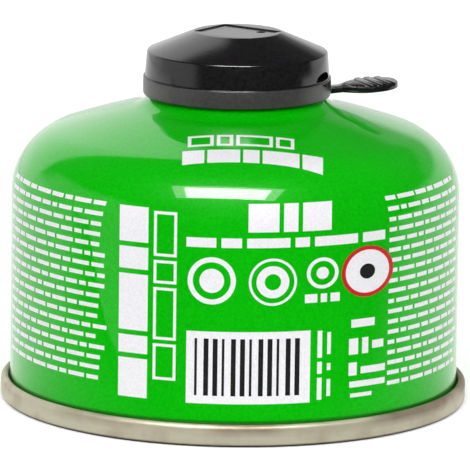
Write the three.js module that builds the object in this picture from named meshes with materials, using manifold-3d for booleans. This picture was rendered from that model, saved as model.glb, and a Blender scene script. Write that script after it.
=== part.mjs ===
// A screw-valve gas canister of the 100 g size, in millimetres, +Z up.
// The origin is the centre of the base, on the surface that the canister stands on.
// The front is -Y, and the cap's pull tab points to +X.
import * as THREE from "three";
import { mergeVertices } from "three/addons/utils/BufferGeometryUtils.js";
import Module from "manifold-3d";

const wasm = await Module();
wasm.setup();

// How finely round things are faceted
const canSteps = 64;
const cupSteps = 48;
const valveSteps = 24;

// Small clearances between pieces that meet
const fitGap = 0.3;
const slideGap = 0.15;

// Can body: a straight wall, a round shoulder, a flat crown and a flared neck
const canRadius = 45;
const wallTop = 42;
const shoulderRadius = 13.8;
const shoulderTurn = THREE.MathUtils.degToRad(71.2);
const crownRadius = 185;
const curlWidth = 2.9;
const neckFillet = 7;
const mouthRadius = 12.7;
const curlHeight = 1.8;
const curlDrop = 1.4;
const skirtThickness = 0.7;

// Bottom end: a dished sheet with its rim rolled round the wall
const seamWidth = 1.8;
const rimHeight = 4.45;
const rimEdge = 0.9;
const seamFloor = 0.9;
const endThickness = 0.6;
const dishDepth = 9.5;
const dishEdgeDepth = 5.4;
const dishFillet = 1.6;
const dishMidReach = 0.5;
const dishMidRise = 0.75;

// Valve cup: crimped over the mouth, with a collar for a 7/16 inch thread of 28 turns to the inch
const cupThickness = 0.5;
const wellDepth = 4;
const wellFillet = 0.7;
const crimpHeight = 2.6;
const threadRadius = 5.55;
const collarHeight = 7.5;
const collarHole = 2.4;
const undercutHeight = 1.5;
const undercutDepth = 0.5;

// Valve inside the collar
const gasketThickness = 1.2;
const cupGasketThickness = 0.7;
const housingDepth = 12;
const housingWall = 1;
const housingFloor = 1.2;
const inletRadius = 1;
const stemRadius = 1.25;
const stemRecess = 0.4;
const plungerHeight = 2.1;
const guideLength = 3.2;
const springWire = 0.3;
const springTurns = 5.5;
const springTurnSteps = 14;

// Cap: a tear ring, a band, a cone and a flat top
const capRoom = 1.45;
const capReach = 5.75;
const ringHeight = 3.45;
const bandStep = 0.3;
const bandTaper = 0.47;
const bandHeight = 4.95;
const bandFillet = 0.45;
const capTopRadius = 8.8;
const capHeadroom = 2.1;
const capWall = 1.1;
const coneWallShare = 0.6;
const bandEase = 0.2;
const snapHeight = 0.9;
const snapSlope = 0.3;
const recessLength = 13.9;
const recessDepth = 0.4;
const recessTurn = THREE.MathUtils.degToRad(55);
const dimpleRadius = 0.95;
const dimpleDepth = 0.3;
const dimpleReach = 4.9;
const dimpleTurn = THREE.MathUtils.degToRad(19);

// Notch over the tear ring and the slots where the ring's end is held by thin bridges
const notchTurn = THREE.MathUtils.degToRad(-20);
const notchWidth = 7.2;
const notchHeight = 1.6;
const notchLeftLean = 0.6;
const notchRightLean = 0.5;
const notchRightRise = 0.9;
const ledgeHeight = 0.35;
const tearTurn = THREE.MathUtils.degToRad(-14.5);
const tearLength = 7.4;
const tearHeight = 2.5;
const tearTip = 0.45;
const tearFlatStart = 0.55;
const bridgeWidth = 0.5;
const bridgePlaces = [-0.65, 1.3];

// Pull tab: a thin stem with a rounded paddle, ribbed for the finger
const tabTurn = THREE.MathUtils.degToRad(13);
const tabTilt = THREE.MathUtils.degToRad(4.5);
const tabThickness = 0.95;
const tabDrop = 0.3;
const stemWidth = 3.7;
const stemLength = 3.2;
const paddleLength = 10.4;
const paddleWidth = 10.9;
const paddleRoundness = 2.2;
const tabFlare = 1.4;
const tabSideSteps = 9;
const ribPitch = 1.95;
const ribCount = 3;
const ribRadius = 0.5;
const ribMargin = 0.75;
const ribOffset = 3.2;
const finePitch = 0.85;
const fineRadius = 0.28;
const fineLength = 4.6;

// A closed geometry as a solid that can be cut and joined
function solidOf(geometry) {
  const bare = geometry.clone();
  bare.deleteAttribute("normal");
  bare.deleteAttribute("uv");
  const merged = mergeVertices(bare, 1e-4);
  const vertProperties = new Float32Array(merged.attributes.position.array);
  const triVerts = new Uint32Array(merged.index.array);
  return new wasm.Manifold(new wasm.Mesh({ numProp: 3, vertProperties, triVerts }));
}

// A solid as a named mesh with its own finish
function piece(name, solid, color, roughness, metalness) {
  const made = solid.getMesh();
  const geometry = new THREE.BufferGeometry();
  geometry.setAttribute("position", new THREE.BufferAttribute(new Float32Array(made.vertProperties), 3));
  geometry.setIndex(new THREE.BufferAttribute(new Uint32Array(made.triVerts), 1));
  geometry.computeVertexNormals();
  const mesh = new THREE.Mesh(geometry, new THREE.MeshStandardMaterial({ color, roughness, metalness }));
  mesh.name = name;
  return mesh;
}

// A profile of [radius, height] points, listed anticlockwise, turned round the Z axis
function revolve(profile, steps) {
  const points = profile.map(([radius, height]) => new THREE.Vector2(radius, height));
  const onAxis = points[0].x === 0 && points[points.length - 1].x === 0;
  if (!onAxis) points.push(points[0].clone());
  return solidOf(new THREE.LatheGeometry(points, steps).rotateX(Math.PI / 2));
}

// Points of an arc round a centre, from one angle to another
function arc(centreRadius, centreHeight, radius, from, to, steps) {
  return Array.from({ length: steps + 1 }, (_, i) => {
    const angle = from + ((to - from) * i) / steps;
    return [centreRadius + radius * Math.cos(angle), centreHeight + radius * Math.sin(angle)];
  });
}

// A plate of an outline in X and Y, from one height up
function plate(shape, low, thickness) {
  const geometry = new THREE.ExtrudeGeometry(shape, { depth: thickness, bevelEnabled: false });
  return solidOf(geometry.translate(0, 0, low));
}

// An outline in width and height, cut through a round wall at a turn round the Z axis
function wallCutter(shape, turn, reach) {
  const geometry = new THREE.ExtrudeGeometry(shape, { depth: reach, bevelEnabled: false, curveSegments: 8 });
  geometry.rotateX(Math.PI / 2).rotateZ(Math.PI / 2 + turn);
  return geometry;
}

// Places that follow from the sizes above
const rimRadius = canRadius + seamWidth;
const seamInner = canRadius + fitGap;
const neckRadius = mouthRadius + curlWidth;
const chuckRadius = canRadius - skirtThickness - fitGap;
const skirtBottom = seamFloor + fitGap;

// The crown's arc runs on from the shoulder's, and the neck's fillet touches it
const shoulderCentre = canRadius - shoulderRadius;
const crownCentreRadius = shoulderCentre - (crownRadius - shoulderRadius) * Math.cos(shoulderTurn);
const crownCentreHeight = wallTop - (crownRadius - shoulderRadius) * Math.sin(shoulderTurn);
const filletCentre = neckRadius + neckFillet;
const filletReach = crownRadius + neckFillet;
const crownEnd = Math.acos((filletCentre - crownCentreRadius) / filletReach);
const filletHeight = crownCentreHeight + filletReach * Math.sin(crownEnd);

// The mouth's curl stands on the neck, and the cup is crimped over it
const curlBottom = filletHeight - curlDrop;
const curlTop = curlBottom + curlHeight;
const cupRimUnder = curlTop + cupGasketThickness;
const cupRimTop = cupRimUnder + cupThickness;
const cupRadius = neckRadius + slideGap + cupThickness;
const wellRadius = mouthRadius - fitGap - cupThickness;
const wellFloor = cupRimTop - wellDepth;
const wellUnder = wellFloor - cupThickness;
const collarTop = wellFloor + collarHeight;
const collarInner = threadRadius - cupThickness;
const undercutRadius = threadRadius - undercutDepth;

// The valve hangs under the collar's top
const gasketTop = collarTop - cupThickness;
const gasketUnder = gasketTop - gasketThickness;
const housingRadius = collarInner - undercutDepth - slideGap;
const housingTop = gasketUnder;
const housingBottom = housingTop - housingDepth;
const boreFloor = housingBottom + housingFloor;
const boreRadius = housingRadius - housingWall;
const plungerUnder = gasketUnder - plungerHeight;
const plungerRadius = boreRadius - slideGap;
const springRadius = boreRadius - fitGap - springWire;
const guideRadius = springRadius - springWire - 3 * fitGap;

// The cap's heights and its inner face
const ringBottom = cupRimTop - capReach;
const ringTop = ringBottom + ringHeight;
const ringRadius = cupRadius + capRoom + capWall;
const bandRadius = ringRadius - bandStep;
const bandTopRadius = bandRadius - bandTaper;
const capTop = collarTop + capHeadroom + capWall;
const shoulderHeight = ringTop + bandHeight;
const ringInner = ringRadius - capWall;
const cutterReach = ringRadius + capWall;
const coneSlope = (capTop - shoulderHeight) / (bandTopRadius - capTopRadius);

function canBody() {
  const filletEnd = Math.asin(Math.min(1, (filletHeight - curlBottom) / neckFillet));
  const pocketRadius = housingRadius + fitGap;
  const floorHeight = dishDepth + endThickness + fitGap;
  const footHeight = dishEdgeDepth + endThickness + fitGap;
  const profile = [
    [0, floorHeight],
    [chuckRadius * dishMidReach, footHeight + (floorHeight - footHeight) * dishMidRise],
    [chuckRadius - dishFillet, footHeight],
    [canRadius - skirtThickness, footHeight - dishFillet],
    [canRadius - skirtThickness, skirtBottom],
    [canRadius, skirtBottom],
    ...arc(shoulderCentre, wallTop, shoulderRadius, 0, shoulderTurn, 7),
    ...arc(crownCentreRadius, crownCentreHeight, crownRadius, shoulderTurn, crownEnd, 3).slice(1),
    ...arc(filletCentre, filletHeight, neckFillet, crownEnd + Math.PI, Math.PI + filletEnd, 5).slice(1),
    ...arc(neckRadius - curlHeight / 2, curlTop - curlHeight / 2, curlHeight / 2, 0, Math.PI / 2, 3),
    [mouthRadius + curlHeight / 2, curlTop],
    [mouthRadius, curlTop - curlHeight / 2],
    [mouthRadius, wellUnder - fitGap],
    [pocketRadius, wellUnder - fitGap],
    [pocketRadius, housingBottom - fitGap],
    [0, housingBottom - fitGap],
  ];
  return revolve(profile, canSteps);
}

function bottomEnd() {
  const dishMidHeight = dishEdgeDepth + (dishDepth - dishEdgeDepth) * dishMidRise;
  const under = [
    [chuckRadius - endThickness, rimEdge / 2],
    [chuckRadius - endThickness, dishEdgeDepth - dishFillet],
    [chuckRadius - endThickness - dishFillet, dishEdgeDepth],
    [chuckRadius * dishMidReach, dishMidHeight],
    [0, dishDepth],
  ];
  const rim = [
    [0, dishDepth + endThickness],
    [chuckRadius * dishMidReach, dishMidHeight + endThickness],
    [chuckRadius - dishFillet, dishEdgeDepth + endThickness],
    [chuckRadius, dishEdgeDepth - dishFillet],
    [chuckRadius, seamFloor],
    [seamInner, seamFloor],
    [seamInner, rimHeight - rimEdge / 2],
    [seamInner + rimEdge / 2, rimHeight],
    [rimRadius - rimEdge / 2, rimHeight],
    [rimRadius, rimHeight - rimEdge],
    [rimRadius, rimEdge],
    [rimRadius - rimEdge / 2, rimEdge / 4],
    [rimRadius - rimEdge, 0],
    [chuckRadius - endThickness + rimEdge, 0],
  ];
  return revolve([...under, ...rim].reverse(), canSteps);
}

function valveCup() {
  const rimMiddle = (wellRadius + cupRadius) / 2;
  const crimpBottom = cupRimTop - crimpHeight;
  const upper = [
    [collarHole, collarTop],
    [threadRadius - cupThickness, collarTop],
    [threadRadius, collarTop - cupThickness],
    [threadRadius, wellFloor + undercutHeight + undercutDepth],
    [undercutRadius, wellFloor + undercutHeight],
    [undercutRadius, wellFloor + wellFillet],
    [undercutRadius + wellFillet, wellFloor],
    [wellRadius - wellFillet, wellFloor],
    [wellRadius, wellFloor + wellFillet],
    [wellRadius, cupRimTop - wellFillet],
    [wellRadius + wellFillet, cupRimTop],
    [rimMiddle, cupRimTop + slideGap],
    [cupRadius - wellFillet, cupRimTop],
    [cupRadius, cupRimTop - wellFillet],
    [cupRadius, crimpBottom],
  ];
  const under = [
    [cupRadius - cupThickness, crimpBottom],
    [cupRadius - cupThickness, cupRimUnder],
    [wellRadius + cupThickness, cupRimUnder],
    [wellRadius + cupThickness, wellUnder],
    [undercutRadius - cupThickness, wellUnder],
    [undercutRadius - cupThickness, wellFloor + undercutHeight],
    [collarInner, wellFloor + undercutHeight + undercutDepth],
    [collarInner, gasketTop],
    [collarHole, gasketTop],
  ];
  return revolve([...upper, ...under].reverse(), cupSteps);
}

function flatRing(inner, outer, low, thickness, steps) {
  const high = low + thickness;
  return revolve([[inner, low], [outer, low], [outer, high], [inner, high]], steps);
}

function cupGasket() {
  const inner = mouthRadius + curlHeight / 2;
  return flatRing(inner, neckRadius - curlHeight / 2, curlTop, cupGasketThickness, cupSteps);
}

function stemGasket() {
  return flatRing(stemRadius + fitGap, collarInner - fitGap, gasketUnder, gasketThickness, valveSteps);
}

function valveHousing() {
  const profile = [
    [inletRadius, housingBottom],
    [housingRadius, housingBottom],
    [housingRadius, housingTop],
    [boreRadius, housingTop],
    [boreRadius, boreFloor],
    [inletRadius, boreFloor],
  ];
  return revolve(profile, valveSteps);
}

function valveStem() {
  const profile = [
    [0, plungerUnder - guideLength],
    [guideRadius, plungerUnder - guideLength],
    [guideRadius, plungerUnder],
    [plungerRadius, plungerUnder],
    [plungerRadius, gasketUnder],
    [stemRadius, gasketUnder],
    [stemRadius, collarTop - stemRecess],
    [0, collarTop - stemRecess],
  ];
  return revolve(profile, valveSteps);
}

// The spring's centre line, a helix between the housing's floor and the plunger
class SpringLine extends THREE.Curve {
  getPoint(t, target = new THREE.Vector3()) {
    const low = boreFloor + springWire + slideGap;
    const high = plungerUnder - springWire - slideGap;
    const angle = 2 * Math.PI * springTurns * t;
    return target.set(springRadius * Math.cos(angle), springRadius * Math.sin(angle), low + (high - low) * t);
  }
}

function valveSpring() {
  const wire = new THREE.Shape().absarc(0, 0, springWire, 0, 2 * Math.PI);
  const steps = Math.round(springTurns * springTurnSteps);
  const options = { steps, curveSegments: 4, extrudePath: new SpringLine(), bevelEnabled: false };
  return solidOf(new THREE.ExtrudeGeometry(wire, options));
}

function capShell() {
  const innerTop = capTop - capWall;
  const innerShoulder = shoulderHeight - capWall * coneWallShare;
  const innerBand = bandTopRadius - capWall;
  const innerFlat = innerBand - (innerTop - innerShoulder) / coneSlope;
  const snapRadius = cupRadius + slideGap;
  const snapBottom = cupRimTop - crimpHeight - slideGap - snapHeight;
  const outer = [
    [ringRadius, ringBottom],
    [ringRadius, ringTop - bandStep / 2],
    [ringRadius - bandStep / 2, ringTop],
    [bandRadius, ringTop],
    [bandTopRadius, shoulderHeight - bandFillet],
    [bandTopRadius - bandFillet / 3, shoulderHeight - bandFillet / 3],
    [bandTopRadius - bandFillet, shoulderHeight + bandFillet * (coneSlope - bandEase)],
    [capTopRadius, capTop],
    [0, capTop],
  ];
  const inner = [
    [0, innerTop],
    [innerFlat, innerTop],
    [innerBand, innerShoulder],
    [ringInner, ringTop],
    [ringInner, snapBottom + snapHeight],
    [snapRadius, snapBottom + snapHeight * (1 - snapSlope)],
    [snapRadius, snapBottom + snapHeight * snapSlope],
    [ringInner, snapBottom],
    [ringInner, ringBottom],
  ];
  return revolve([...outer, ...inner], canSteps);
}

// The plain recess in the flat top, its corners on the flat's edge, and the gate's dimple
function capTopRecess() {
  const width = 2 * Math.sqrt(capTopRadius ** 2 - (recessLength / 2) ** 2);
  const box = new THREE.BoxGeometry(width, recessLength, 2 * recessDepth);
  box.rotateZ(recessTurn).translate(0, 0, capTop);
  const dimple = new THREE.CylinderGeometry(dimpleRadius, dimpleRadius, 2 * dimpleDepth, 16);
  dimple.rotateX(Math.PI / 2).translate(dimpleReach, 0, capTop - recessDepth).rotateZ(dimpleTurn);
  return solidOf(box).add(solidOf(dimple));
}

// The arched notch in the band, just over the tear ring's ledge
function notch() {
  const half = notchWidth / 2;
  const shape = new THREE.Shape();
  shape.moveTo(-half, 0);
  shape.lineTo(half, 0);
  shape.bezierCurveTo(half, notchHeight * notchRightRise, half * notchRightLean, notchHeight, 0, notchHeight);
  shape.bezierCurveTo(-half * notchLeftLean, notchHeight, -half, notchHeight * notchLeftLean, -half, 0);
  const cutter = wallCutter(shape, notchTurn, cutterReach);
  return solidOf(cutter.translate(0, 0, ringTop + ledgeHeight));
}

// The three-cornered gap where the tear ring begins, less the thin bridges across it
function tearGap() {
  const half = tearLength / 2;
  const high = ringTop - ledgeHeight;
  const shape = new THREE.Shape();
  shape.moveTo(-half, high - tearTip);
  shape.lineTo(half * tearFlatStart, high - tearHeight);
  shape.lineTo(half, high - tearHeight);
  shape.lineTo(half, high);
  shape.lineTo(-half, high);
  shape.closePath();
  const gap = solidOf(wallCutter(shape, tearTurn, cutterReach));
  const bridges = bridgePlaces.map((place) => {
    const bar = new THREE.BoxGeometry(2 * capWall, bridgeWidth, ringHeight);
    bar.translate(ringRadius - capWall, place, ringBottom + ringHeight / 2);
    return solidOf(bar.rotateZ(tearTurn));
  });
  return bridges.reduce((left, bar) => left.subtract(bar), gap);
}

// Half the paddle's width at a distance along the tab, measured from the paddle's root
function paddleHalfWidth(along) {
  const middle = paddleLength / 2;
  const share = Math.min(1, Math.abs((along - middle) / middle));
  return (paddleWidth / 2) * Math.pow(1 - share ** paddleRoundness, 1 / paddleRoundness);
}

// The tab's outline: a straight stem that flares into the paddle, along X from the ring's inner face
function tabOutline(start, root) {
  const half = stemWidth / 2;
  const side = Array.from({ length: tabSideSteps }, (_, i) => {
    const quarter = (Math.PI * i) / (2 * tabSideSteps);
    const along = tabFlare + (paddleLength - tabFlare) * Math.sin(quarter);
    return [root + along, paddleHalfWidth(along)];
  });
  const shape = new THREE.Shape();
  shape.moveTo(start, -half);
  shape.lineTo(root - tabFlare / 2, -half);
  side.forEach(([along, across]) => shape.lineTo(along, -across));
  shape.lineTo(root + paddleLength, 0);
  side.reverse().forEach(([along, across]) => shape.lineTo(along, across));
  shape.lineTo(root - tabFlare / 2, half);
  shape.lineTo(start, half);
  shape.closePath();
  return shape;
}

// A half-round rib across the tab
function rib(along, halfLength, radius) {
  const capsule = new THREE.CapsuleGeometry(radius, 2 * (halfLength - radius), 3, 8);
  return solidOf(capsule.translate(along, 0, 0));
}

function pullTab() {
  const start = ringInner + fitGap;
  const root = ringRadius + stemLength;
  let tab = plate(tabOutline(start, root), -tabThickness, tabThickness);
  for (let i = 0; i < ribCount; i++) {
    const along = ribOffset + i * ribPitch;
    tab = tab.add(rib(root + along, paddleHalfWidth(along) - ribMargin, ribRadius));
  }
  for (const place of [2, 1]) {
    const along = ribOffset - ribRadius - place * finePitch + fineRadius;
    tab = tab.add(rib(root + along, fineLength / 2 / Math.sqrt(place), fineRadius));
  }
  const tilted = new THREE.Matrix4().makeTranslation(0, 0, ringBottom + tabThickness - tabDrop);
  tilted.multiply(new THREE.Matrix4().makeRotationZ(tabTurn));
  tilted.multiply(new THREE.Matrix4().makeTranslation(ringRadius, 0, 0));
  tilted.multiply(new THREE.Matrix4().makeRotationY(-tabTilt));
  tilted.multiply(new THREE.Matrix4().makeTranslation(-ringRadius, 0, 0));
  return tab.transform(tilted.elements);
}

function cap() {
  return capShell().add(pullTab()).subtract(capTopRecess()).subtract(notch()).subtract(tearGap());
}

const canister = new THREE.Group();
canister.add(
  piece("can_body", canBody(), 0x16b512, 0.28, 0.1),
  piece("bottom_end", bottomEnd(), 0xb8b098, 0.4, 0.9),
  piece("valve_cup", valveCup(), 0xc6bfa6, 0.32, 0.95),
  piece("cup_gasket", cupGasket(), 0x1c1c1e, 0.8, 0),
  piece("valve_housing", valveHousing(), 0xe4e2da, 0.5, 0),
  piece("valve_spring", valveSpring(), 0xb4b4b8, 0.3, 1),
  piece("valve_stem", valveStem(), 0xdad8d0, 0.45, 0),
  piece("stem_gasket", stemGasket(), 0x242426, 0.75, 0),
  piece("cap", cap(), 0x1f1e20, 0.38, 0),
);

export default canister;
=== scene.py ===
import math

import bpy
from mathutils import Matrix, Vector


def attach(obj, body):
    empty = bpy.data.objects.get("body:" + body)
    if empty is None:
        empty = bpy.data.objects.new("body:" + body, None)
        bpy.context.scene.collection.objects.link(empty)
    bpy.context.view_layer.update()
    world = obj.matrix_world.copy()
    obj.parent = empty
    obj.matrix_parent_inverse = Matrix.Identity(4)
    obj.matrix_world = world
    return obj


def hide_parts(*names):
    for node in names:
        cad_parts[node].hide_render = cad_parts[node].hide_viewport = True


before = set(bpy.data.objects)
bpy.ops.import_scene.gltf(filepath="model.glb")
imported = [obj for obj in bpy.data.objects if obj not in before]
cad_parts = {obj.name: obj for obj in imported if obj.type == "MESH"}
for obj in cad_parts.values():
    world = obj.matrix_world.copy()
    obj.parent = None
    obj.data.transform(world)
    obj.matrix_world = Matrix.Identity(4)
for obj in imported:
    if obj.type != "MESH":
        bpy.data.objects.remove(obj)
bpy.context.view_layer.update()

# The view: a long lens from the front and a little above, over a pale table in a white room. The lacquer
# and the cap mirror the room at a level that changes with direction, which puts the pale edges on them.
# Three softboxes fill the light and are not mirrored. Two strips over the front are only mirrored.
MM = 0.001
ROOM_FILL = 0.48
ROOM_SHOWN = 1.0
TABLE_GLOW = 0.35
TARGET = Vector((0, 0, 0.04))

bpy.ops.object.camera_add(location=(0, -1.30841, 0.29910))
camera = bpy.context.object
lens_tilt = Matrix.Rotation(math.radians(90 - 11.4983), 3, "X")
lens_roll = Matrix.Rotation(math.radians(0.7692), 3, "Z")
camera.rotation_euler = (lens_tilt @ lens_roll).to_euler()
camera.data.lens = 509
camera.data.sensor_width = 36
camera.data.clip_end = 50
bpy.context.scene.camera = camera
bpy.context.scene.view_settings.view_transform = "Standard"


def add_node(tree, kind, inputs=None, **settings):
    """A node with its settings, its inputs linked from a socket or set to a value."""
    made = tree.nodes.new(kind)
    for name, value in settings.items():
        setattr(made, name, value)
    for name, value in (inputs or {}).items():
        if isinstance(value, bpy.types.NodeSocket):
            tree.links.new(value, made.inputs[name])
        else:
            made.inputs[name].default_value = value
    return made


room = bpy.data.worlds.new("white_room")
bpy.context.scene.world = room
room.use_nodes = True
room_tree = room.node_tree
room_light = room_tree.nodes["Background"]
room_light.inputs["Color"].default_value = (1, 1, 1, 1)
room_rays = add_node(room_tree, "ShaderNodeLightPath")
room_way = add_node(room_tree, "ShaderNodeTexCoord")
room_axes = add_node(room_tree, "ShaderNodeSeparateXYZ", {"Vector": room_way.outputs["Generated"]})


def room_edge(axis, none, full, level=1.0):
    """Rises from nothing to a level between two places along an axis of the room."""
    made = add_node(
        room_tree, "ShaderNodeMapRange",
        {"Value": room_axes.outputs[axis], "From Min": none, "From Max": full, "To Max": level},
        interpolation_type="SMOOTHSTEP",
    )
    return made.outputs["Result"]


def room_math(operation, one, other):
    """One sum on two values of the room."""
    return add_node(room_tree, "ShaderNodeMath", {0: one, 1: other}, operation=operation).outputs[0]


# Paler stretches of the room: low down behind, at both sides of the rear wall and far out on the left.
room_low = room_math("MULTIPLY", room_edge("Y", 0.2, 0.4), room_edge("Z", 0.36, 0.2))
room_left = room_math("MULTIPLY", room_edge("Y", 0.58, 0.66), room_edge("X", -0.02, -0.12, 1.2))
room_side = room_math("MULTIPLY", room_edge("X", -0.70, -0.88), room_edge("Z", 0.52, 0.40, 0.8))
room_wall = room_math("MULTIPLY", room_edge("Y", 0.5, 0.7), room_edge("Z", 0.50, 0.38))
room_right = room_math("MULTIPLY", room_wall, room_edge("X", 0.08, 0.14, 0.27))
room_rear = room_math("ADD", room_edge("Y", 0.5, 0.8, 0.03), 0.03)
room_sides = room_math("MAXIMUM", room_math("MAXIMUM", room_left, room_right), room_side)
room_gloss = room_math("MAXIMUM", room_math("MAXIMUM", room_low, room_rear), room_sides)
room_mirrored = room_math(
    "MAXIMUM", room_rays.outputs["Is Glossy Ray"], room_rays.outputs["Is Transmission Ray"]
)
room_level = add_node(room_tree, "ShaderNodeMix", {"Factor": room_mirrored, "A": ROOM_FILL, "B": room_gloss})
room_shown = add_node(
    room_tree, "ShaderNodeMix",
    {"Factor": room_rays.outputs["Is Camera Ray"], "A": room_level.outputs["Result"], "B": ROOM_SHOWN},
)
room_tree.links.new(room_shown.outputs["Result"], room_light.inputs["Strength"])


def softbox(name, place, width, height, watts):
    """A rectangular lamp that points at the can and is not seen by the camera."""
    bpy.ops.object.light_add(type="AREA", location=place)
    box = bpy.context.object
    box.name = name
    box.data.shape = "RECTANGLE"
    box.data.size = width
    box.data.size_y = height
    box.data.energy = watts
    box.rotation_euler = (TARGET - Vector(place)).to_track_quat("-Z", "Y").to_euler()
    box.visible_camera = False
    return box


softbox("fill_front", (0.0, -1.2, 0.75), 1.0, 0.7, 14).visible_glossy = False
softbox("fill_back_left", (-0.9, 0.9, 0.7), 0.8, 0.8, 4).visible_glossy = False
softbox("fill_back_right", (0.9, 0.9, 0.7), 0.8, 0.8, 4).visible_glossy = False
softbox("strip", (-0.06, -0.55, 0.86), 0.60, 0.30, 13).visible_diffuse = False
softbox("strip_edge", (-0.06, -0.54, 0.88), 0.80, 0.38, 5).visible_diffuse = False

bpy.ops.mesh.primitive_plane_add(size=8, location=(0, 3.925, 0))
table = bpy.context.object
bpy.ops.object.transform_apply(location=True, rotation=True, scale=True)
table.name = "table"
table_paint = bpy.data.materials.new("white_table")
table_paint.use_nodes = True
table_tree = table_paint.node_tree
table_shader = table_tree.nodes["Principled BSDF"]
table_shader.inputs["Roughness"].default_value = 0.9
table_shader.inputs["Specular IOR Level"].default_value = 0
table_shader.inputs["Emission Color"].default_value = (1, 1, 1, 1)
table_rays = add_node(table_tree, "ShaderNodeLightPath")
table_seen = add_node(
    table_tree, "ShaderNodeMath",
    {0: table_rays.outputs["Is Camera Ray"], 1: table_rays.outputs["Is Glossy Ray"]}, operation="MAXIMUM",
)
table_mirrored = add_node(
    table_tree, "ShaderNodeMath",
    {0: table_seen.outputs[0], 1: table_rays.outputs["Is Transmission Ray"]}, operation="MAXIMUM",
)
# Seen in glossy rays the table fades to black towards its front edge, a painted darkening of its reflection
# in the lacquer; to the camera it is evenly white.
table_place = add_node(table_tree, "ShaderNodeTexCoord")
table_axes = add_node(table_tree, "ShaderNodeSeparateXYZ", {"Vector": table_place.outputs["Object"]})
table_mirror_fade = add_node(
    table_tree, "ShaderNodeMapRange",
    {"Value": table_axes.outputs["Y"], "From Min": -0.075, "From Max": 0.02},
    interpolation_type="SMOOTHSTEP",
)
table_mirror_level = add_node(
    table_tree, "ShaderNodeMix",
    {"Factor": table_rays.outputs["Is Glossy Ray"], "A": 1.0, "B": table_mirror_fade.outputs["Result"]},
)
table_colour = add_node(
    table_tree, "ShaderNodeMixRGB",
    {"Fac": table_mirror_level.outputs["Result"], "Color1": (0, 0, 0, 1), "Color2": (0.86, 0.86, 0.86, 1)},
)
table_tree.links.new(table_colour.outputs["Color"], table_shader.inputs["Base Color"])
table_glow = add_node(
    table_tree, "ShaderNodeMath", {0: table_mirrored.outputs[0], 1: TABLE_GLOW}, operation="MULTIPLY"
)
table_shown = add_node(
    table_tree, "ShaderNodeMath", {0: table_glow.outputs[0], 1: table_mirror_level.outputs["Result"]},
    operation="MULTIPLY",
)
table_tree.links.new(table_shown.outputs[0], table_shader.inputs["Emission Strength"])
table_side = add_node(table_tree, "ShaderNodeNewGeometry")
table_clear = add_node(table_tree, "ShaderNodeBsdfTransparent")
table_both = add_node(
    table_tree, "ShaderNodeMixShader",
    {0: table_side.outputs["Backfacing"], 1: table_shader.outputs[0], 2: table_clear.outputs[0]},
)
table_tree.links.new(table_both.outputs[0], table_tree.nodes["Material Output"].inputs["Surface"])
table.data.materials.append(table_paint)

# Can body: one sheet of steel drawn into a straight wall, a round shoulder, a shallow crown and a
# curled mouth, then lacquered outside in a glossy green. Its lower edge stands inside the rim's seam,
# and the top of the mouth is hidden by the valve's cup.
CAN_RADIUS = 45
WALL_TOP = 42
SHOULDER_RADIUS = 13.8
CROWN_RADIUS = 185
CAN_STEPS = 160
WELD = 0.004


def arc(across, up, radius, start, end, steps):
    """Points of an outline along a circle, between two angles in degrees."""
    turns = [math.radians(start + (end - start) * i / steps) for i in range(steps + 1)]
    return [(across + radius * math.cos(turn), up + radius * math.sin(turn)) for turn in turns]


def turned(name, outline, steps):
    """A round piece: an outline of (radius, height) in millimetres, extruded point by point and spun."""
    bpy.ops.object.select_all(action="DESELECT")
    bpy.ops.mesh.primitive_plane_add(size=1)
    made = bpy.context.object
    made.name = made.data.name = name
    bpy.ops.object.mode_set(mode="EDIT")
    bpy.ops.mesh.select_all(action="SELECT")
    bpy.ops.mesh.merge(type="CENTER")
    last = (0, 0)
    for i, (across, up) in enumerate(outline):
        step = ((across - last[0]) * MM, 0, (up - last[1]) * MM)
        if i == 0:
            bpy.ops.transform.translate(value=step)
        else:
            bpy.ops.mesh.extrude_region_move(TRANSFORM_OT_translate={"value": step})
        last = (across, up)
    bpy.ops.mesh.select_all(action="SELECT")
    bpy.ops.mesh.spin(steps=steps, angle=2 * math.pi, center=(0, 0, 0), axis=(0, 0, 1))
    bpy.ops.mesh.select_all(action="SELECT")
    bpy.ops.mesh.remove_doubles(threshold=WELD * MM)
    bpy.ops.mesh.normals_make_consistent(inside=False)
    bpy.ops.object.mode_set(mode="OBJECT")
    bpy.ops.object.shade_smooth_by_angle(angle=math.radians(35))
    return made


can_body = turned("can", [
    (0, 10.4), (22, 9.4), (38, 6.8), (42.2, 6.3), (43.6, 5.6), (44.3, 4.6), (44.3, 1.2), (45, 1.2),
    (CAN_RADIUS, 5), (CAN_RADIUS, 20), (CAN_RADIUS, 35),
    *arc(31.2, WALL_TOP, SHOULDER_RADIUS, 0, 71.2, 22),
    *arc(-23.97, -120.07, CROWN_RADIUS, 71.6, 75.96, 8),
    *arc(22.6, 66.2, 7, 255.96, 191.5, 10)[1:],
    *arc(14.7, 65.7, 0.9, 0, 180, 10),
    (12.7, 65.7), (12.7, 62.99), (4.7, 62.99), (4.7, 57.3), (0, 57.3),
], CAN_STEPS)


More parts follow.
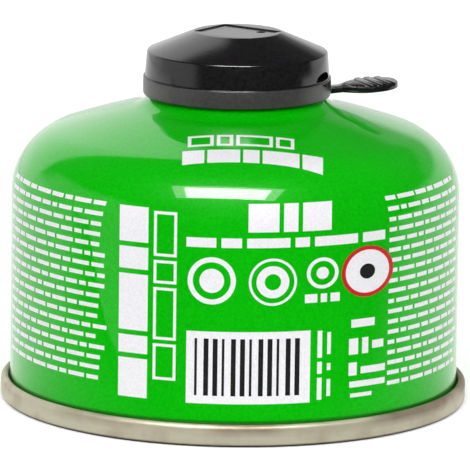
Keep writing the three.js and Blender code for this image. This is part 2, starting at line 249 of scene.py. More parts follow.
def grain_group():
    """Fine unevenness of a surface: a value for its colour and a bumped normal."""
    made = bpy.data.node_groups.new("fine_grain", "ShaderNodeTree")
    face = made.interface
    face.new_socket("Scale", in_out="INPUT", socket_type="NodeSocketFloat")
    face.new_socket("Bump", in_out="INPUT", socket_type="NodeSocketFloat")
    face.new_socket("Height", in_out="OUTPUT", socket_type="NodeSocketFloat")
    face.new_socket("Normal", in_out="OUTPUT", socket_type="NodeSocketVector")
    inputs = add_node(made, "NodeGroupInput")
    outputs = add_node(made, "NodeGroupOutput")
    place = add_node(made, "ShaderNodeTexCoord")
    noise = add_node(
        made, "ShaderNodeTexNoise",
        {
            "Vector": place.outputs["Object"], "Scale": inputs.outputs["Scale"],
            "Detail": 4.0, "Roughness": 0.6,
        },
    )
    bump = add_node(
        made, "ShaderNodeBump",
        {"Strength": inputs.outputs["Bump"], "Distance": 0.05 * MM, "Height": noise.outputs[0]},
    )
    made.links.new(noise.outputs[0], outputs.inputs["Height"])
    made.links.new(bump.outputs["Normal"], outputs.inputs["Normal"])
    return made


fine_grain = grain_group()


def finish(name, values):
    """A node material with its constant values on the shader's own sockets."""
    made = bpy.data.materials.new(name)
    made.use_nodes = True
    shader = made.node_tree.nodes["Principled BSDF"]
    for socket, value in values.items():
        shader.inputs[socket].default_value = value
    return made, made.node_tree, shader


def grained(tree, shader, scale, bump):
    """Gives a shader the fine grain's normal, and returns the grain's height."""
    grain = add_node(tree, "ShaderNodeGroup", node_tree=fine_grain)
    grain.inputs["Scale"].default_value = scale
    grain.inputs["Bump"].default_value = bump
    tree.links.new(grain.outputs["Normal"], shader.inputs["Normal"])
    return grain.outputs["Height"]


def tinted(tree, factor, dark, light, low=0.35, high=0.65):
    """A colour between two, by a value such as a grain's height."""
    ramp = add_node(tree, "ShaderNodeValToRGB", {"Fac": factor})
    ramp.color_ramp.elements[0].position = low
    ramp.color_ramp.elements[1].position = high
    ramp.color_ramp.elements[0].color = (*dark, 1)
    ramp.color_ramp.elements[1].color = (*light, 1)
    return ramp.outputs["Color"]


lacquer, lacquer_tree, lacquer_shader = finish("green_lacquer", {
    "Roughness": 0.35,
    "Specular IOR Level": 0.05,
    "Coat Weight": 1.0,
    "Coat Roughness": 0.04,
    "Coat IOR": 1.42,
})
lacquer_grain = grained(lacquer_tree, lacquer_shader, 1800.0, 0.25)
lacquer_fine = tinted(lacquer_tree, lacquer_grain, (0.0, 0.43, 0.0), (0.002, 0.53, 0.002))
lacquer_place = add_node(lacquer_tree, "ShaderNodeTexCoord")
lacquer_cloud = add_node(
    lacquer_tree, "ShaderNodeTexNoise",
    {"Vector": lacquer_place.outputs["Object"], "Scale": 45.0, "Detail": 3.0},
)
lacquer_wide = tinted(lacquer_tree, lacquer_cloud.outputs[0], (0.86, 0.93, 0.86), (1, 1, 1), 0.3, 0.7)
lacquer_colour = add_node(
    lacquer_tree, "ShaderNodeMixRGB", {"Fac": 1.0, "Color1": lacquer_fine, "Color2": lacquer_wide},
    blend_type="MULTIPLY",
)
# Where the wall meets the rim's seam the lacquer is darkened to a near-black green: painted shade of the gap
# under the seam's curl.
lacquer_axes = add_node(lacquer_tree, "ShaderNodeSeparateXYZ", {"Vector": lacquer_place.outputs["Object"]})
lacquer_seam_shade = add_node(
    lacquer_tree, "ShaderNodeMapRange",
    {"Value": lacquer_axes.outputs["Z"], "From Min": 4.6 * MM, "From Max": 5.3 * MM, "To Min": 0.25},
    interpolation_type="SMOOTHSTEP",
)
lacquer_seam_shaded = add_node(
    lacquer_tree, "ShaderNodeMixRGB",
    {
        "Fac": lacquer_seam_shade.outputs["Result"],
        "Color1": (0, 0.06, 0, 1), "Color2": lacquer_colour.outputs["Color"],
    },
)
lacquer_tree.links.new(lacquer_seam_shaded.outputs["Color"], lacquer_shader.inputs["Base Color"])
can_body.data.materials.append(lacquer)
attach(can_body, "can")
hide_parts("can_body")

# Print: white, red and black ink rolled on the lacquer before the can was closed. It is kept to fields of
# colour and simple shapes: stripes, panels, rings and rows of dashes, each a film that follows the steel.
INK_HEIGHT = 0.05
INK_DEPTH = 0.11
INK_OVER = 0.02
INK_GRID = 0.9
PRESS_FROM = 0.1


def ink_sheet(name):
    """An empty flat piece, open in edit mode, for the shapes of one film of ink."""
    bpy.ops.object.select_all(action="DESELECT")
    bpy.ops.mesh.primitive_plane_add(size=1)
    made = bpy.context.object
    made.name = made.data.name = name
    bpy.ops.object.mode_set(mode="EDIT")
    bpy.ops.mesh.select_all(action="SELECT")
    bpy.ops.mesh.delete(type="VERT")
    return made


def bar(left, low, right, high, tall=True):
    """A rectangle in front of the can, in millimetres, or over it, divided so that it can follow a curve."""
    wide = right - left
    high_by = high - low
    middle = ((left + right) / 2 * MM, -PRESS_FROM, (low + high) / 2 * MM)
    turn = (math.pi / 2, 0, 0)
    if not tall:
        middle = (middle[0], (low + high) / 2 * MM, PRESS_FROM)
        turn = (0, 0, 0)
    bpy.ops.mesh.select_all(action="DESELECT")
    bpy.ops.mesh.primitive_grid_add(
        x_subdivisions=max(1, round(wide / INK_GRID)), y_subdivisions=max(1, round(high_by / INK_GRID)),
        size=MM, location=middle, rotation=turn,
    )
    bpy.ops.transform.resize(value=(wide, high_by if not tall else 1, high_by), center_override=middle)


def frame_of_bars(left, low, right, high, line):
    """The outline of a rectangle, in four bars of one width."""
    bar(left, low, right, low + line)
    bar(left, high - line, right, high)
    bar(left, low + line, left + line, high - line)
    bar(right - line, low + line, right, high - line)


def disc(across, up, outer, inner=0.0, steps=40, rings=4):
    """A disc or a ring in front of the can, in rings that step inwards."""
    middle = (across * MM, -PRESS_FROM, up * MM)
    bpy.ops.mesh.select_all(action="DESELECT")
    bpy.ops.mesh.primitive_circle_add(
        vertices=steps, radius=outer * MM, location=middle, rotation=(math.pi / 2, 0, 0)
    )
    last = outer
    for i in range(1, rings + 1):
        radius = outer + (inner - outer) * i / rings
        bpy.ops.mesh.extrude_region_move()
        if radius > 0:
            bpy.ops.transform.resize(value=[radius / last] * 3, center_override=middle)
            last = radius
        else:
            bpy.ops.mesh.merge(type="CENTER")


def ink_pressed(made, colour, along="Y", lift=0.0):
    """Lays a film on the can and gives it its thickness, half sunk into the lacquer."""
    bpy.ops.mesh.select_all(action="SELECT")
    bpy.ops.mesh.normals_make_consistent(inside=False)
    bpy.ops.object.mode_set(mode="OBJECT")
    press = made.modifiers.new("press", "SHRINKWRAP")
    press.target = can_body
    press.wrap_method = "PROJECT"
    press.use_project_x = False
    press.use_project_y = along == "Y"
    press.use_project_z = along == "Z"
    press.use_positive_direction = along == "Y"
    press.use_negative_direction = along == "Z"
    press.offset = (INK_HEIGHT + lift) * MM
    bpy.ops.object.modifier_apply(modifier="press")
    bpy.ops.object.mode_set(mode="EDIT")
    bpy.ops.mesh.select_all(action="SELECT")
    bpy.ops.mesh.normals_make_consistent(inside=False)
    bpy.ops.object.mode_set(mode="OBJECT")
    outward = sum(
        face.center.x * face.normal.x + face.center.y * face.normal.y for face in made.data.polygons
    )
    if outward < 0:
        made.data.flip_normals()
    film = made.modifiers.new("film", "SOLIDIFY")
    film.thickness = INK_DEPTH * MM
    film.offset = -1
    bpy.ops.object.modifier_apply(modifier="film")
    bpy.ops.object.shade_smooth_by_angle(angle=math.radians(40))
    made.data.materials.append(colour)
    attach(made, "can")


def ink(name, dark, light):
    """Printing ink with a glossy coat, its colour a little uneven."""
    made, tree, shader = finish(name, {
        "Roughness": 0.4,
        "Specular IOR Level": 0.2,
        "Coat Weight": 0.8,
        "Coat Roughness": 0.1,
        "Coat IOR": 1.42,
    })
    height = grained(tree, shader, 2400.0, 0.2)
    tree.links.new(tinted(tree, height, dark, light), shader.inputs["Base Color"])
    return made


def turn_to_x(degrees):
    """How far across the front a place lies that is so many degrees round the wall."""
    return CAN_RADIUS * math.sin(math.radians(degrees))


white_ink = ink("white_ink", (0.80, 0.79, 0.82), (0.91, 0.89, 0.93))
red_ink = ink("red_ink", (0.52, 0.012, 0.014), (0.66, 0.02, 0.02))
black_ink = ink("black_ink", (0.008, 0.008, 0.008), (0.02, 0.02, 0.02))

# The broad stripes that run up the left of the front, one solid and one in outline.
stripes = ink_sheet("print_stripes")
for low, high in ((8.6, 16.4), (17.4, 21.0), (22.0, 33.2), (34.2, 38.6), (39.6, 46.5)):
    bar(turn_to_x(-30), low, turn_to_x(-22), high)
for low, high in ((12.6, 19.8), (20.6, 31.0), (31.8, 36.4), (37.2, 46.0)):
    frame_of_bars(turn_to_x(-20.5), low, turn_to_x(-14.5), high, 0.55)
ink_pressed(stripes, white_ink)

# The panels and marks across the front.
marks = ink_sheet("print_marks")
for left, right in ((2.6, 8.6), (9.5, 12.3), (13.2, 18.8)):
    bar(left, 42.6, right, 48.0)
for left, right in ((-9.4, -3.6), (-2.6, 1.4), (2.4, 10.8), (11.8, 14.6), (15.6, 24.0), (25.0, 29.4)):
    bar(left, 39.5, right, 41.4)
disc(-4.4, 32.9, 4.7, 3.7, rings=1)
disc(-4.4, 32.9, 2.4, 0)
disc(7.5, 32.7, 4.7, 4.2, rings=1)
disc(7.5, 32.7, 3.2, 1.6, rings=1)
disc(17.2, 34.1, 3.1, 2.4, rings=1)
disc(17.2, 34.1, 1.2, 0, 24, 2)
for left, right in ((13.8, 16.2), (16.9, 18.1), (18.8, 20.6)):
    bar(left, 28.3, right, 30.0)
for low, high in ((8.8, 13.2), (14.0, 16.4), (17.2, 22.6)):
    bar(16.4, low, 17.3, high)
    bar(18.3, low + 0.6, 19.0, high - 0.4)
for left, low, right, high in (
    (23.0, 22.6, 27.6, 24.2), (22.6, 17.2, 24.4, 20.4), (25.2, 17.2, 26.4, 20.4), (27.2, 18.0, 29.4, 19.6),
    (22.6, 13.0, 24.2, 15.6), (25.0, 13.2, 29.8, 14.6), (22.8, 10.6, 29.8, 11.8), (23.0, 8.6, 27.2, 9.4),
):
    bar(left, low, right, high)
ink_pressed(marks, white_ink)

# The white panel with its dark stripes, and the round mark in white, black and red.
ROUND_MARK = (26.0, 33.6)
panel = ink_sheet("print_panel")
bar(-9.2, 8.4, 15.0, 22.8)
disc(*ROUND_MARK, 4.5, rings=5)
ink_pressed(panel, white_ink)

stripes_dark = ink_sheet("print_panel_stripes")
for i in range(12):
    left = -7.6 + 1.78 * i
    bar(left, 10.0, left + (0.95 if i % 3 else 0.5), 21.4)
disc(*ROUND_MARK, 1.5, rings=2)
ink_pressed(stripes_dark, black_ink, lift=INK_OVER)

edge = ink_sheet("print_round_edge")
disc(*ROUND_MARK, 5.1, 4.3, rings=1)
ink_pressed(edge, red_ink, lift=INK_OVER)

ROW_PITCH = 2.05
DASH_HEIGHT = 0.82
DASH_GAP = 0.85


def fine_rows(name, half_turn, middle_turn, low, high, seed):
    """Rows of dashes of uneven length, all plain, laid on the front and then turned to their side."""
    made = ink_sheet(name)
    up = low
    row = seed
    while up < high:
        turn = -half_turn
        while turn < half_turn - 3.5:
            row += 1
            length = 1.8 + 4.6 * ((row * 0.618) % 1)
            end = min(turn + length, half_turn - 1.8 * ((row * 0.37) % 1))
            bar(turn_to_x(turn), up, turn_to_x(end), up + DASH_HEIGHT)
            turn = end + DASH_GAP
        up += ROW_PITCH
    ink_pressed(made, white_ink)
    made.rotation_euler.z = math.radians(middle_turn)
    bpy.ops.object.transform_apply(location=True, rotation=True, scale=True)


fine_rows("print_rows_left", 23.5, -56.25, 11.0, 47.2, 3)
fine_rows("print_rows_right", 18.5, 60.75, 10.0, 47.2, 8)

# The stripe on the crown under the cap, in two rows of plain blocks.
crown_blocks = ink_sheet("print_crown")
for left, right in ((-10.5, -6.2), (-5.6, 0.8), (1.4, 4.6), (5.2, 12.4), (13.0, 17.0)):
    bar(left, -36.4, right, -31.6, tall=False)
for left, right in ((-9.5, -4.4), (-3.8, -0.6), (0.0, 7.2), (7.8, 11.4)):
    bar(left, -30.0, right, -29.3, tall=False)
    bar(left, -26.3, right, -25.6, tall=False)
    bar(left, -29.3, left + 0.7, -26.3, tall=False)
    bar(right - 0.7, -29.3, right, -26.3, tall=False)
ink_pressed(crown_blocks, white_ink, along="Z")

# Bottom end: a dished disc of bare tinplate, its edge rolled round the wall's lower edge and pressed
# flat into a double seam, which is the metal rim that the can stands on. The tin has a warm grey tone
# with faint brown stains.
end_outline = [
    (0, 9.5), (12, 9.2), (22, 8.4), (32, 7.0), (38, 6.1), (41.0, 5.55),
    *arc(42.1, 3.95, 1.5, 100, 0, 6),
    *arc(44.3, 0.75, 0.75, 180, 270, 5),
    *arc(45.8, 1.0, 1.0, 270, 360, 6),
    (46.8, 2.4),
    *arc(45.9, 3.55, 0.9, 0, 90, 6),
    *arc(45.75, 4.0, 0.45, 90, 180, 4),
    (45.3, 0.9), (44.0, 0.9), (44.0, 4.2), (43.2, 5.6), (41.3, 6.2),
    (38, 6.7), (32, 7.6), (22, 9.0), (12, 9.8), (0, 10.1),
]
rim = turned("rim_and_base", end_outline, CAN_STEPS)


def tin_group():
    """Bare tinplate: rolled streaks round the piece, and clouds of stain in the tin."""
    made = bpy.data.node_groups.new("tin_cast", "ShaderNodeTree")
    face = made.interface
    face.new_socket("Tone", in_out="INPUT", socket_type="NodeSocketColor")
    face.new_socket("Stain", in_out="INPUT", socket_type="NodeSocketColor")
    face.new_socket("Color", in_out="OUTPUT", socket_type="NodeSocketColor")
    face.new_socket("Roughness", in_out="OUTPUT", socket_type="NodeSocketFloat")
    face.new_socket("Normal", in_out="OUTPUT", socket_type="NodeSocketVector")
    inputs = add_node(made, "NodeGroupInput")
    outputs = add_node(made, "NodeGroupOutput")
    place = add_node(made, "ShaderNodeTexCoord")
    stretch = add_node(
        made, "ShaderNodeMapping", {"Vector": place.outputs["Object"], "Scale": (1.0, 1.0, 14.0)}
    )
    streaks = add_node(
        made, "ShaderNodeTexNoise", {"Vector": stretch.outputs[0], "Scale": 180.0, "Detail": 5.0}
    )
    clouds = add_node(
        made, "ShaderNodeTexNoise", {"Vector": place.outputs["Object"], "Scale": 140.0, "Detail": 6.0}
    )
    stained = add_node(
        made, "ShaderNodeMapRange",
        {"Value": clouds.outputs[0], "From Min": 0.5, "From Max": 0.75, "To Min": 0.0, "To Max": 0.8},
    )
    colour = add_node(
        made, "ShaderNodeMixRGB",
        {"Fac": stained.outputs[0], "Color1": inputs.outputs["Tone"], "Color2": inputs.outputs["Stain"]},
    )
    rough = add_node(
        made, "ShaderNodeMapRange",
        {"Value": streaks.outputs[0], "From Min": 0.3, "From Max": 0.7, "To Min": 0.4, "To Max": 0.6},
    )
    bump = add_node(
        made, "ShaderNodeBump", {"Strength": 0.3, "Distance": 0.05 * MM, "Height": streaks.outputs[0]}
    )
    made.links.new(colour.outputs["Color"], outputs.inputs["Color"])
    made.links.new(rough.outputs["Result"], outputs.inputs["Roughness"])
    made.links.new(bump.outputs["Normal"], outputs.inputs["Normal"])
    return made


tin_cast = tin_group()


def tin_finish(name, tone, stain, metal):
    """A tinplate material with its own tone, stain and share of bare metal."""
    made, tree, shader = finish(name, {"Metallic": metal})
    cast = add_node(tree, "ShaderNodeGroup", node_tree=tin_cast)
    cast.inputs["Tone"].default_value = (*tone, 1)
    cast.inputs["Stain"].default_value = (*stain, 1)
    tree.links.new(cast.outputs["Color"], shader.inputs["Base Color"])
    tree.links.new(cast.outputs["Roughness"], shader.inputs["Roughness"])
    tree.links.new(cast.outputs["Normal"], shader.inputs["Normal"])
    return made


rim_tin = tin_finish("bare_tinplate", (0.65, 0.605, 0.475), (0.46, 0.38, 0.29), 0.45)
rim_tree = rim_tin.node_tree
rim_shader = rim_tree.nodes["Principled BSDF"]
# Painted shade on the rim: a brownish darker band towards its top, broken into streaks by a noise, stands for
# the shade under the top lip, and a near-black line at its foot stands for its contact shadow.
rim_plain = rim_shader.inputs["Base Color"].links[0].from_socket
rim_place = add_node(rim_tree, "ShaderNodeTexCoord")
rim_height = add_node(rim_tree, "ShaderNodeSeparateXYZ", {"Vector": rim_place.outputs["Object"]})
rim_upper_shade = add_node(
    rim_tree, "ShaderNodeMapRange",
    {"Value": rim_height.outputs["Z"], "From Min": 2.0 * MM, "From Max": 3.6 * MM},
)
rim_shade_noise = add_node(
    rim_tree, "ShaderNodeTexNoise", {"Vector": rim_place.outputs["Object"], "Scale": 38.0, "Detail": 3.0}
)
rim_shade_streaks = add_node(
    rim_tree, "ShaderNodeMapRange",
    {"Value": rim_shade_noise.outputs[0], "From Min": 0.42, "From Max": 0.6, "To Min": 0.2},
)
rim_shade_band = add_node(
    rim_tree, "ShaderNodeMath", {0: rim_upper_shade.outputs["Result"], 1: rim_shade_streaks.outputs["Result"]},
    operation="MULTIPLY",
)
# The brownish painted shade that darkens the rim towards its top.
rim_shade_tint = add_node(
    rim_tree, "ShaderNodeMixRGB",
    {"Fac": rim_shade_band.outputs[0], "Color1": (1, 1, 0.97, 1), "Color2": (0.52, 0.45, 0.41, 1)},
)
rim_shaded_tone = add_node(
    rim_tree, "ShaderNodeMixRGB", {"Fac": 1.0, "Color1": rim_plain, "Color2": rim_shade_tint.outputs["Color"]},
    blend_type="MULTIPLY",
)
# The rim's lowest edge goes near black: a painted contact shadow where it stands on the table.
rim_contact_shade = add_node(
    rim_tree, "ShaderNodeMapRange",
    {"Value": rim_height.outputs["Z"], "From Min": 0.35 * MM, "From Max": 0.75 * MM},
)
rim_shaded_colour = add_node(
    rim_tree, "ShaderNodeMixRGB",
    {
        "Fac": rim_contact_shade.outputs["Result"],
        "Color1": (0.05, 0.038, 0.028, 1), "Color2": rim_shaded_tone.outputs["Color"],
    },
)
rim_tree.links.new(rim_shaded_colour.outputs["Color"], rim_shader.inputs["Base Color"])
rim.data.materials.append(rim_tin)
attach(rim, "can")
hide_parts("bottom_end")

# Valve cup: a pressed tinplate cup crimped over the mouth's curl. Its middle is drawn up into the
# collar, which has the rolled 7/16 inch thread of 28 turns to the inch that a burner screws on to.
THREAD_PITCH = 25.4 / 28
THREAD_TURNS = 5
THREAD_WIRE = 0.33
THREAD_RADIUS = 5.27
THREAD_FOOT = 66.0
CUP_STEPS = 96
cup = turned("valve_cup_pressed", [
    (2.4, 71.3), (5.05, 71.3), *arc(5.0, 70.95, 0.35, 90, 0, 4)[1:], (5.35, 66.1), (5.05, 65.3), (5.05, 64.5),
    *arc(5.75, 64.5, 0.7, 180, 270, 5), (11.2, 63.8), *arc(11.2, 64.5, 0.7, 270, 360, 5), (11.9, 67.1),
    *arc(12.6, 67.1, 0.7, 180, 100, 5), (14.07, 67.95), *arc(15.55, 67.1, 0.7, 80, 0, 5), (16.25, 65.6),
    *arc(16.0, 65.45, 0.25, 0, -180, 4), (15.75, 67.1), (15.5, 67.3), (12.6, 67.3), (12.4, 67.1),
    (12.4, 63.3), (4.55, 63.3), (4.55, 65.3), (4.95, 65.8), (5.0, 70.8), (2.4, 70.8), (2.4, 71.3),
], CUP_STEPS)

# The thread: a six-sided wire wound up the collar, its ends closed, then joined to the cup.
bpy.ops.object.select_all(action="DESELECT")
bpy.ops.mesh.primitive_circle_add(
    vertices=6, radius=THREAD_WIRE * MM, location=(THREAD_RADIUS * MM, 0, THREAD_FOOT * MM),
    rotation=(math.pi / 2, 0, 0),
)
thread = bpy.context.object
thread.name = "collar_thread"
bpy.ops.object.transform_apply(location=True, rotation=True, scale=True)
wind = thread.modifiers.new("wind", "SCREW")
wind.axis = "Z"
wind.steps = wind.render_steps = 36
wind.iterations = THREAD_TURNS
wind.screw_offset = THREAD_PITCH * MM
wind.use_merge_vertices = False
bpy.ops.object.modifier_apply(modifier="wind")
bpy.ops.object.mode_set(mode="EDIT")
bpy.ops.mesh.select_all(action="DESELECT")
bpy.ops.mesh.select_non_manifold()
bpy.ops.mesh.fill_holes(sides=6)
bpy.ops.mesh.select_all(action="SELECT")
bpy.ops.mesh.normals_make_consistent(inside=False)
bpy.ops.object.mode_set(mode="OBJECT")
bpy.ops.object.shade_smooth_by_angle(angle=math.radians(40))


def merged(target, tool, operation):
    """Joins a tool piece to a target, or cuts it away, and removes the tool."""
    bpy.ops.object.select_all(action="DESELECT")
    bpy.context.view_layer.objects.active = target
    target.select_set(True)
    change = target.modifiers.new("change", "BOOLEAN")
    change.operation = operation
    change.solver = "EXACT"
    change.object = tool
    bpy.ops.object.modifier_apply(modifier="change")
    bpy.data.objects.remove(tool, do_unlink=True)


merged(cup, thread, "UNION")
cup.data.materials.append(tin_finish("bright_tinplate", (0.60, 0.55, 0.42), (0.48, 0.40, 0.26), 0.85))
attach(cup, "can")
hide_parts("valve_cup")

# Cap: one moulding in black plastic, pushed over the valve's cup. A tear ring runs round its foot, and
# above it are a band, a low cone and a flat top with a shallow oblong recess and the gate's dimple.
# An arched notch and a torn slot with two thin bridges mark where the ring opens.
CAP_TOP = 74.5
RECESS_FLOOR = 74.24
NOTCH_FLOOR = 65.85
NOTCH_TURN = math.radians(-20)
TEAR_TURN = math.radians(-14.5)
cap = turned("cap_moulding", [
    (0, 73.4), (8.4, 73.4), (16.93, 69.79), (17.7, 65.5), (17.7, 65.1), (16.4, 64.78), (16.4, 64.42),
    (17.7, 64.15), (17.7, 61.8), (18.5, 61.8), (18.74, 62.05), *arc(18.6, 62.3, 0.2, 320, 360, 3),
    (18.8, 65.35), *arc(18.65, 65.35, 0.15, 0, 90, 4),
    (18.40, 65.5), (18.34, 65.62), (18.46, 65.78), (18.42, 66.5), (18.10, 70.2),
    *arc(17.62, 70.26, 0.45, 2, 64, 6), (9.2, 74.34),
    *arc(8.6, 74.06, 0.44, 66, 90, 3), (0, CAP_TOP),
], CAN_STEPS)


def block(name, low, high, turn=0.0, bevel=0.0):
    """A box between two corners in millimetres, its edges rounded, then turned round the can's axis."""
    bpy.ops.object.select_all(action="DESELECT")
    size = [(b - a) * MM for a, b in zip(low, high)]
    middle = [(a + b) / 2 * MM for a, b in zip(low, high)]
    bpy.ops.mesh.primitive_cube_add(size=1, location=middle, scale=size)
    made = bpy.context.object
    made.name = name
    bpy.ops.object.transform_apply(location=True, rotation=True, scale=True)
    if bevel:
        bpy.ops.object.mode_set(mode="EDIT")
        bpy.ops.mesh.select_all(action="SELECT")
        bpy.ops.mesh.bevel(offset=bevel * MM, segments=2, affect="EDGES")
        bpy.ops.object.mode_set(mode="OBJECT")
    made.rotation_euler.z = turn
    bpy.ops.object.transform_apply(location=True, rotation=True, scale=True)
    return made


recess = block("recess_cutter", (-5.4, -6.95, RECESS_FLOOR), (5.4, 6.95, 75.5), math.radians(55))
bpy.ops.mesh.primitive_cylinder_add(
    vertices=32, radius=0.95 * MM, depth=0.6 * MM, location=(4.65 * MM, 0.65 * MM, RECESS_FLOOR * MM)
)
dimple = bpy.context.object
bpy.ops.object.transform_apply(location=True, rotation=True, scale=True)

bpy.ops.object.select_all(action="DESELECT")
bpy.ops.mesh.primitive_cylinder_add(
    vertices=40, radius=1 * MM, depth=12 * MM, location=(18 * MM, 0, NOTCH_FLOOR * MM),
    rotation=(0, math.pi / 2, 0), scale=(1.6, 3.6, 1),
)
notch = bpy.context.object
bpy.ops.object.transform_apply(location=True, rotation=True, scale=True)
bpy.ops.object.mode_set(mode="EDIT")
bpy.ops.mesh.select_all(action="SELECT")
bpy.ops.mesh.bisect(plane_co=(0, 0, NOTCH_FLOOR * MM), plane_no=(0, 0, 1), use_fill=True, clear_inner=True)
bpy.ops.object.mode_set(mode="OBJECT")
notch.rotation_euler.z = NOTCH_TURN
bpy.ops.object.transform_apply(location=True, rotation=True, scale=True)

tear = block("tear_cutter", (12, -3.9, 62.65), (24, 3.7, 65.15))
bpy.ops.object.mode_set(mode="EDIT")
bpy.ops.mesh.select_all(action="SELECT")
bpy.ops.mesh.bisect(
    plane_co=(0, -3.9 * MM, 65.15 * MM), plane_no=(0, 0.31, 0.95), use_fill=True, clear_inner=True
)
bpy.ops.object.mode_set(mode="OBJECT")
for place in (-0.65, 1.3):
    bridge = block("bridge", (16.6, place - 0.25, 62), (18.75, place + 0.25, 65.6))
    merged(tear, bridge, "DIFFERENCE")
tear.rotation_euler.z = TEAR_TURN
bpy.context.view_layer.objects.active = tear
tear.select_set(True)
bpy.ops.object.transform_apply(location=True, rotation=True, scale=True)

# Pull tab, part of the same moulding: a short stem that widens into a round paddle, with three broad
# slats and, nearer the stem, four fine ones across its upper face for the finger.
PADDLE_ROOT = 22.0
PADDLE_LENGTH = 10.95
PADDLE_HALF = 5.45
TAB_THICK = 1.15
TAB_HALF = 1.85
STEM_END = 21.3
TAB_HINGE = 18.8
TAB_HEIGHT = 62.7
TAB_TURN = math.radians(13)
TAB_TILT = math.radians(-4.5)
TAB_STEPS = 14
RIB_SLANT = math.radians(-8)
SLAT_PITCH = 1.95
FINE_PITCH = 0.55


def paddle_half(along):
    """Half the paddle's width at a distance from its root."""
    share = min(1, abs((along - PADDLE_LENGTH / 2) / (PADDLE_LENGTH / 2)))
    return PADDLE_HALF * (1 - share ** 2.2) ** (1 / 2.2)


tab = block("pull_tab", (18.0, -TAB_HALF, -TAB_THICK), (STEM_END, TAB_HALF, 0))
bpy.ops.object.mode_set(mode="EDIT")
bpy.ops.mesh.select_mode(type="FACE")
bpy.ops.mesh.select_all(action="DESELECT")
bpy.ops.object.mode_set(mode="OBJECT")
for side in tab.data.polygons:
    side.select = side.normal.x > 0.9
bpy.ops.object.mode_set(mode="EDIT")
# The station next to the tip is left out, because it would be nearer to it than the bevel is wide.
last_along = STEM_END - PADDLE_ROOT
last_half = TAB_HALF
for i in (*range(TAB_STEPS - 1), TAB_STEPS):
    along = 1.4 + (PADDLE_LENGTH - 1.4) * math.sin(math.pi / 2 * i / TAB_STEPS)
    half = max(paddle_half(along), 0.5)
    bpy.ops.mesh.extrude_region_move(TRANSFORM_OT_translate={"value": ((along - last_along) * MM, 0, 0)})
    bpy.ops.transform.resize(value=(1, half / last_half, 1), center_override=(0, 0, 0))
    last_along = along
    last_half = half
bpy.ops.mesh.select_all(action="SELECT")
bpy.ops.mesh.remove_doubles(threshold=0.01 * MM)
bpy.ops.object.mode_set(mode="OBJECT")
soften = tab.modifiers.new("soften", "BEVEL")
soften.width = 0.2 * MM
soften.segments = 2
soften.limit_method = "ANGLE"
soften.angle_limit = math.radians(50)
bpy.ops.object.modifier_apply(modifier="soften")


def rib(along, half, half_width, top):
    """A slat across the paddle, its foot sunk into it and its edges rounded."""
    made = block(
        "rib", (PADDLE_ROOT + along - half_width, -half, -0.6), (PADDLE_ROOT + along + half_width, half, top),
        bevel=min(0.3, half_width * 0.6),
    )
    bpy.ops.object.mode_set(mode="EDIT")
    bpy.ops.mesh.select_all(action="SELECT")
    bpy.ops.transform.rotate(
        value=RIB_SLANT, orient_axis="Z", center_override=((PADDLE_ROOT + along) * MM, 0, 0)
    )
    bpy.ops.object.mode_set(mode="OBJECT")
    return made


for i in range(3):
    along = 4.55 + SLAT_PITCH * i
    merged(tab, rib(along, paddle_half(along) - 0.4, 0.68, 0.32), "UNION")
for i in range(4):
    merged(tab, rib(1.35 + FINE_PITCH * i, 1.9 + 0.5 * i, 0.17, 0.2), "UNION")
tab.matrix_world = (
    Matrix.Translation((0, 0, TAB_HEIGHT * MM))
    @ Matrix.Rotation(TAB_TURN, 4, "Z")
    @ Matrix.Translation((TAB_HINGE * MM, 0, 0))
    @ Matrix.Rotation(TAB_TILT, 4, "Y")
    @ Matrix.Translation((-TAB_HINGE * MM, 0, 0))
)
bpy.context.view_layer.objects.active = tab
tab.select_set(True)
bpy.ops.object.transform_apply(location=True, rotation=True, scale=True)

# The recess and dimple are cut first, then the tab joined, then the ring's openings cut through both.
for cutter in (recess, dimple):
    merged(cap, cutter, "DIFFERENCE")
merged(cap, tab, "UNION")
for cutter in (notch, tear):
    merged(cap, cutter, "DIFFERENCE")
bpy.ops.object.shade_smooth_by_angle(angle=math.radians(24))

cap_plastic, cap_tree, cap_shader = finish("black_moulding", {
    "Specular IOR Level": 0.5,
    "IOR": 1.55,
})
cap_grain = grained(cap_tree, cap_shader, 1400.0, 0.2)
cap_place = add_node(cap_tree, "ShaderNodeTexCoord")
# The ring and its foot are matt and greyer; the parts above it and the tab are glossy and black.
cap_height = add_node(cap_tree, "ShaderNodeSeparateXYZ", {"Vector": cap_place.outputs["Object"]})
cap_reach = add_node(
    cap_tree, "ShaderNodeVectorMath", {0: cap_place.outputs["Object"], 1: (1, 1, 0)}, operation="MULTIPLY"
)
cap_distance = add_node(cap_tree, "ShaderNodeVectorMath", {0: cap_reach.outputs[0]}, operation="LENGTH")
cap_above = add_node(
    cap_tree, "ShaderNodeMapRange",
    {"Value": cap_height.outputs["Z"], "From Min": 65.4 * MM, "From Max": 65.6 * MM},
)
cap_beyond = add_node(
    cap_tree, "ShaderNodeMapRange",
    {"Value": cap_distance.outputs["Value"], "From Min": 18.9 * MM, "From Max": 19.3 * MM},
)
cap_gloss = add_node(
    cap_tree, "ShaderNodeMath", {0: cap_above.outputs["Result"], 1: cap_beyond.outputs["Result"]},
    operation="MAXIMUM",
)
cap_matt = add_node(
    cap_tree, "ShaderNodeMapRange", {"Value": cap_gloss.outputs[0], "To Min": 0.36, "To Max": 0.16}
)
cap_upper = tinted(cap_tree, cap_grain, (0.006, 0.005, 0.006), (0.013, 0.012, 0.013))
cap_ring = tinted(cap_tree, cap_grain, (0.038, 0.035, 0.037), (0.056, 0.051, 0.054))
cap_colour = add_node(
    cap_tree, "ShaderNodeMixRGB", {"Fac": cap_gloss.outputs[0], "Color1": cap_ring, "Color2": cap_upper}
)
# The ring's lowest edge is painted near black: painted shade of the gap under its foot.
cap_lip_shade = add_node(
    cap_tree, "ShaderNodeMapRange",
    {"Value": cap_height.outputs["Z"], "From Min": 61.98 * MM, "From Max": 62.12 * MM, "To Min": 0.08},
)
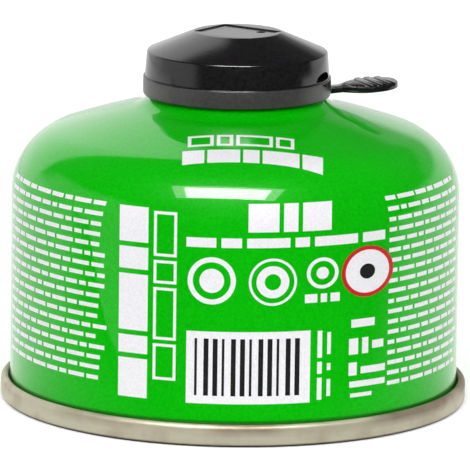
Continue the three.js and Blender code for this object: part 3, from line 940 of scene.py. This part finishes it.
cap_shaded = add_node(
    cap_tree, "ShaderNodeMixRGB",
    {
        "Fac": cap_lip_shade.outputs["Result"],
        "Color1": (0.003, 0.003, 0.003, 1), "Color2": cap_colour.outputs["Color"],
    },
)
cap_tree.links.new(cap_shaded.outputs["Color"], cap_shader.inputs["Base Color"])
cap_tree.links.new(cap_matt.outputs["Result"], cap_shader.inputs["Roughness"])
cap.data.materials.append(cap_plastic)
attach(cap, "cap")
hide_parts("cap")

# Rubber seals: a flat ring between the mouth's curl and the cup, and a disc under the collar's top
# that the valve stem closes against. Both are matt black, moulded and a little dusty.
rubber, rubber_tree, rubber_shader = finish("black_rubber", {
    "Roughness": 0.78,
    "Specular IOR Level": 0.3,
})
rubber_grain = grained(rubber_tree, rubber_shader, 2600.0, 0.5)
rubber_tree.links.new(
    tinted(rubber_tree, rubber_grain, (0.014, 0.014, 0.015), (0.034, 0.034, 0.036)),
    rubber_shader.inputs["Base Color"],
)
for name in ("cup_gasket", "stem_gasket"):
    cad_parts[name].data.materials[0] = rubber

# Valve plastics: the tube that hangs in the collar and the plunger in it, moulded in an undyed plastic.
# The tube has the gas inlet in its floor, and the plunger slides in it under the stem's seal.
plastic, plastic_tree, plastic_shader = finish("undyed_plastic", {
    "Roughness": 0.48,
    "Subsurface Weight": 0.15,
})
plastic_grain = grained(plastic_tree, plastic_shader, 900.0, 0.2)
plastic_tree.links.new(
    tinted(plastic_tree, plastic_grain, (0.68, 0.66, 0.60), (0.80, 0.78, 0.73)),
    plastic_shader.inputs["Base Color"],
)
for name in ("valve_housing", "valve_stem"):
    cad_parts[name].data.materials[0] = plastic

# Valve spring: a coil of hard-drawn steel wire, bright and a little uneven in tone. It stands on the
# tube's floor and pushes the plunger up against its seal.
wire, wire_tree, wire_shader = finish("drawn_wire", {"Metallic": 1.0, "Roughness": 0.26})
wire_grain = grained(wire_tree, wire_shader, 3000.0, 0.3)
wire_tree.links.new(
    tinted(wire_tree, wire_grain, (0.48, 0.48, 0.50), (0.70, 0.70, 0.72)),
    wire_shader.inputs["Base Color"],
)
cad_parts["valve_spring"].data.materials[0] = wire
